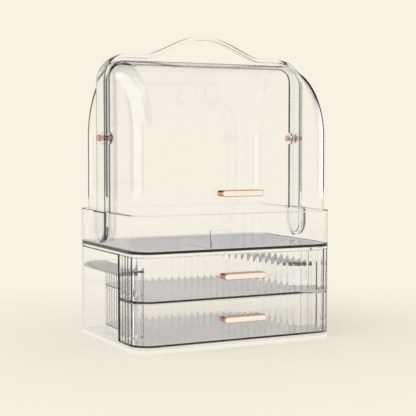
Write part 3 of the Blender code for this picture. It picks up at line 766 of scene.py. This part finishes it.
def reach_of(node):
    """The nearest and farthest |x| of a node, so that one profile serves both sides."""
    ends = [abs(corner.x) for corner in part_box(node)]
    return min(ends), max(ends)


for side, word in ((1, "right"), (-1, "left")):
    axis = (side, 0, 0)
    near, far = reach_of(word + "_hinge_pin")
    centre = (0, 0, pivot_z)
    pin = [(AXIS_HOLE, near), (HEAD_RADIUS, near), (HEAD_RADIUS, near + PIN_HEAD), (PIN_RADIUS, near + PIN_HEAD),
           (PIN_RADIUS, far), (AXIS_HOLE, far)]
    dress(turned(word + "_pin", round_profile(pin, 0.6 * MM), centre, axis, rose_gold), "root", word + "_hinge_pin")
    near, far = reach_of(word + "_pin_cap")
    cap = [(CAP_BORE, far - CAP_END), (CAP_BORE, near), (HEAD_RADIUS, near), (HEAD_RADIUS, far), (AXIS_HOLE, far)]
    dress(turned(word + "_cap", round_profile(cap, 0.7 * MM), centre, axis, rose_gold), "root", word + "_pin_cap")
    near, far = reach_of(word + "_spacer")
    sleeve = [(EAR_RADIUS, far), (EAR_RADIUS, near), (BORE_RADIUS, near), (BORE_RADIUS, far)]
    dress(turned(word + "_sleeve", sleeve, centre, axis, polystyrene, closed=True), "root", word + "_spacer")

# %% [markdown]
# ## Pulls and screws
# A pull is a pill-shaped bar. Its outline is carried from the wall to its face round an edge of about
# a millimetre, and that rim is the thin rose-gold line round the front face. The flat front face is
# given a near-white copy of the rose-gold plate: a painted highlight for the pale studio it reflects.

# %% Pulls
PULL_EDGE = 1.1 * MM
PULL_BACK_EDGE = 0.5 * MM
SCREW_HEAD = 1.8 * MM
SCREW_HEAD_RADIUS = 3.4 * MM
SCREW_RADIUS = 1.5 * MM
# Painted highlight: a near-white copy of the rose-gold plate for the pull's flat front face, not a second finish.
pull_face_highlight = plated_metal("rose_gold_face_painted_highlight", "#fffcf6", 0.06, 2.5 * MM, 0.005 * MM)


def make_pull(name, body):
    """A pill outline in (x, z) carried from back to front, its flat front face painted whiter as a highlight."""
    low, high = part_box(name)
    radius = (high.z - low.z) / 2
    reach = high.x - radius
    height = (high.z + low.z) / 2
    pill = np.concatenate([
        arc((reach, height), radius, -90, 90, 24), arc((-reach, height), radius, 90, 270, 24),
    ])
    front = arc((low.y + PULL_EDGE, PULL_EDGE), PULL_EDGE, 270, 180, 5)
    back = arc((high.y - PULL_BACK_EDGE, PULL_BACK_EDGE), PULL_BACK_EDGE, 0, -90, 3)
    normal = inward(pill)
    rings = []
    for y, inset in np.concatenate([back, front]):
        ring = pill + normal * inset
        rings.append(np.column_stack([ring[:, 0], np.full(len(ring), y), ring[:, 1]]))
    bar = skin(name + "_bar", rings, rose_gold)
    # The flat front face takes the near-white copy of the plate, a painted highlight.
    bar.data.materials.append(pull_face_highlight)
    face = min(bar.data.polygons, key=lambda item: item.center.y)
    face.material_index = 1
    dress(bar, body, name)
    for word in ("left", "right"):
        node = f"{name}_{word}_screw"
        low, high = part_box(node)
        centre = ((low.x + high.x) / 2, 0, (low.z + high.z) / 2)
        under = high.y - SCREW_HEAD
        head = [(AXIS_HOLE, high.y), (SCREW_HEAD_RADIUS, high.y), (SCREW_HEAD_RADIUS, under), (SCREW_RADIUS, under),
                (SCREW_RADIUS, low.y), (AXIS_HOLE, low.y)]
        dress(turned(node + "_turned", round_profile(head, 0.7 * MM), centre, (0, 1, 0), bright_zinc, 24), body, node)


make_pull("lid_pull", "lid")
make_pull("upper_pull", "upper_drawer_body")
make_pull("lower_pull", "lower_drawer_body")

# %% [markdown]
# ## Tray divider
# A loose L stands on the tray's floor: an upright plate and a low wall behind it. Both are plates of
# one moulding, so the two blocks are joined first and all their edges are then rounded together.

# %% Tray divider
DIVIDER_WALL = 2 * MM
LOW_WALL_HIGH = 10 * MM
low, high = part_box("tray_divider")
upright = block("divider_plate", low, (high.x, low.y + DIVIDER_WALL, high.z), polystyrene)
low_wall = block("low_wall", (low.x, low.y + MM, low.z),
                 (low.x + DIVIDER_WALL, high.y, low.z + LOW_WALL_HIGH), polystyrene)
combine(upright, low_wall, "UNION")
soften(upright, 0.5 * MM, segments=3)
dress(upright, "divider", "tray_divider")

# %% [markdown]
# ## Studio
# Clear plastic shows its room. What is seen straight through it is the cream backdrop, and what is
# seen after a reflection is the studio: a pale front, white boxes at the sides, black cards that
# draw the edges, and a grey back wall low down, which is what turns a plastic floor grey at a
# grazing view. Overhead a cream strip runs from front to back between black cards, so that the domes
# stay clean. The world tells the two apart by whether the ray has been reflected.

# %% Backdrop colours
BACKDROP = "#f8f2e3"
WHITE_BOX = "#ffffff"
BLACK_CARD = "#0c0c0d"
DARK_CARD = "#2a2b2e"
GREY_WALL = "#b0b1b3"
BOX_LIGHT = 1.6


def seen_straight(tree):
    """1 for a ray that has only passed through things, 0 once it has been reflected or scattered."""
    path = add_node(tree, "ShaderNodeLightPath")
    bounced = add_node(tree, "ShaderNodeMath", {"operation": "ADD"}, {
        0: path.outputs["Glossy Depth"], 1: path.outputs["Diffuse Depth"],
    })
    straight = add_node(tree, "ShaderNodeMath", {"operation": "LESS_THAN"}, {0: bounced.outputs[0], 1: 0.5})
    return straight.outputs[0]


def ramp(tree, factor, cards):
    """A colour ramp with (start, end, hex colour) cards and a smooth change between them."""
    stops = [(at, colour) for start, end, colour in cards for at in sorted({start, end})]
    node = add_node(tree, "ShaderNodeValToRGB", {}, {"Fac": factor})
    node.color_ramp.interpolation = "EASE"
    elements = node.color_ramp.elements
    while len(elements) < len(stops):
        elements.new(0.5)
    for element, (position, colour) in zip(elements, stops):
        element.position = position
        element.color = (BOX_LIGHT, BOX_LIGHT, BOX_LIGHT, 1.0) if colour == WHITE_BOX else linear(colour)
    return node.outputs["Color"]


# %% World
AROUND = [
    (0.000, 0.025, DARK_CARD),
    (0.045, 0.105, BACKDROP),
    (0.120, 0.175, BLACK_CARD),
    (0.190, 0.330, WHITE_BOX),
    (0.345, 0.375, DARK_CARD),
    (0.390, 0.610, BACKDROP),
    (0.625, 0.655, DARK_CARD),
    (0.670, 0.810, WHITE_BOX),
    (0.825, 0.870, BLACK_CARD),
    (0.885, 0.965, GREY_WALL),
    (0.985, 1.000, DARK_CARD),
]
world = bpy.data.worlds.new("cream_studio")
bpy.context.scene.world = world
world.use_nodes = True
tree = world.node_tree
way = add_node(tree, "ShaderNodeTexCoord").outputs["Generated"]
parts = add_node(tree, "ShaderNodeSeparateXYZ", {}, {"Vector": way})
front = add_node(tree, "ShaderNodeMath", {"operation": "MULTIPLY"}, {0: parts.outputs["Y"], 1: -1.0})
angle = add_node(tree, "ShaderNodeMath", {"operation": "ARCTAN2"}, {0: parts.outputs["X"], 1: front.outputs[0]})
share = add_node(tree, "ShaderNodeMapRange", {}, {
    "Value": angle.outputs[0], "From Min": -np.pi, "From Max": np.pi, "To Min": 0.0, "To Max": 1.0,
})
cards = ramp(tree, share.outputs["Result"], AROUND)
OVERHEAD = [
    (0.00, 0.25, WHITE_BOX),
    (0.32, 0.60, BLACK_CARD),
    (0.66, 0.78, BACKDROP),
    (0.84, 0.92, BLACK_CARD),
    (1.00, 1.00, WHITE_BOX),
]
across = add_node(tree, "ShaderNodeMapRange", {}, {"Value": parts.outputs["X"], "From Min": -1.0, "From Max": 1.0})
above = ramp(tree, across.outputs["Result"], OVERHEAD)
height = add_node(tree, "ShaderNodeMapRange", {"interpolation_type": "SMOOTHSTEP"}, {
    "Value": parts.outputs["Z"], "From Min": 0.20, "From Max": 0.40, "To Min": 0.0, "To Max": 1.0,
})
reflected = add_node(tree, "ShaderNodeMix", {"data_type": "RGBA"}, {
    "Factor": height.outputs["Result"], 6: cards, 7: above,
})
room = add_node(tree, "ShaderNodeMix", {"data_type": "RGBA"}, {
    "Factor": seen_straight(tree), 6: reflected.outputs[2], 7: linear(BACKDROP),
})
background = tree.nodes["Background"]
tree.links.new(room.outputs[2], background.inputs["Color"])
background.inputs["Strength"].default_value = 1.0

# %% [markdown]
# ## Floor and lamp
# The floor is cream paper. To a straight look it mostly shows its own colour, and near the object
# part of its real shading is kept, so that the object still throws a soft shadow. One large soft box
# from the front left lights it.

# %% Floor
FLOOR_HALF = 4.0
SHADOW_SHARE = 0.35


def floor_material():
    """Cream paper to a straight look, with part of its real shading kept so that the shadow shows."""
    made = bpy.data.materials.new("matt_cream_paper")
    made.use_nodes = True
    tree = made.node_tree
    shader = tree.nodes["Principled BSDF"]
    shader.inputs["Base Color"].default_value = linear(BACKDROP)
    shader.inputs["Roughness"].default_value = 0.9
    shader.inputs["Specular IOR Level"].default_value = 0.0
    glow = add_node(tree, "ShaderNodeEmission", {}, {"Color": linear(BACKDROP), "Strength": 1.0})
    grey = add_node(tree, "ShaderNodeEmission", {}, {"Color": linear("#f6f1e6"), "Strength": 1.0})
    straight = seen_straight(tree)
    place = add_node(tree, "ShaderNodeTexCoord").outputs["Object"]
    distance = add_node(tree, "ShaderNodeVectorMath", {"operation": "LENGTH"}, {0: place})
    keep = add_node(tree, "ShaderNodeMapRange", {"interpolation_type": "SMOOTHSTEP"}, {
        "Value": distance.outputs["Value"], "From Min": 0.15, "From Max": 0.65,
        "To Min": 1.0 - SHADOW_SHARE, "To Max": 1.0,
    })
    paper = add_node(tree, "ShaderNodeMixShader", {}, {
        0: keep.outputs["Result"], 1: shader.outputs[0], 2: glow.outputs[0],
    })
    final = add_node(tree, "ShaderNodeMixShader", {}, {0: straight, 1: grey.outputs[0], 2: paper.outputs[0]})
    tree.links.new(final.outputs[0], tree.nodes["Material Output"].inputs["Surface"])
    return made


floor_mesh = bpy.data.meshes.new("floor")
floor_mesh.from_pydata([(-FLOOR_HALF, -FLOOR_HALF, 0), (FLOOR_HALF, -FLOOR_HALF, 0),
                        (FLOOR_HALF, FLOOR_HALF, 0), (-FLOOR_HALF, FLOOR_HALF, 0)], [], [(0, 1, 2, 3)])
floor_mesh.materials.append(floor_material())
floor = bpy.data.objects.new("floor", floor_mesh)
bpy.context.scene.collection.objects.link(floor)


# %% Lamps
def lamp(name, place, aim, size, power):
    """A square soft box at a place, turned to its aim."""
    data = bpy.data.lights.new(name, "AREA")
    data.shape = "SQUARE"
    data.size = size
    data.energy = power
    made = bpy.data.objects.new(name, data)
    made.location = place
    made.rotation_euler = (Vector(aim) - Vector(place)).to_track_quat("-Z", "Y").to_euler()
    made.visible_glossy = False
    bpy.context.scene.collection.objects.link(made)
    return made


lamp("key_box", (-0.5, -0.6, 2.6), (0, 0, 0.2), 1.6, 18)

# %% [markdown]
# ## Light paths
# A look through both drawers crosses eight faces, and a flute can pass the light along inside the
# wall several times more. A path that is cut short ends in black, so the limits for light passing
# through are high. The limit for reflections is kept low on purpose: light that is caught inside a
# wall reflects many times, and ending it early draws many of the dark lines along the floors' fronts
# and the rims. That is a choice made to match the picture, not how clear plastic behaves: with a
# high limit those lines fade, and another renderer may not show them.

# %% Light paths
LIGHT_PATHS = 40
REFLECTIONS = 2
cycles = bpy.context.scene.cycles
cycles.max_bounces = LIGHT_PATHS
cycles.transmission_bounces = LIGHT_PATHS
cycles.glossy_bounces = REFLECTIONS
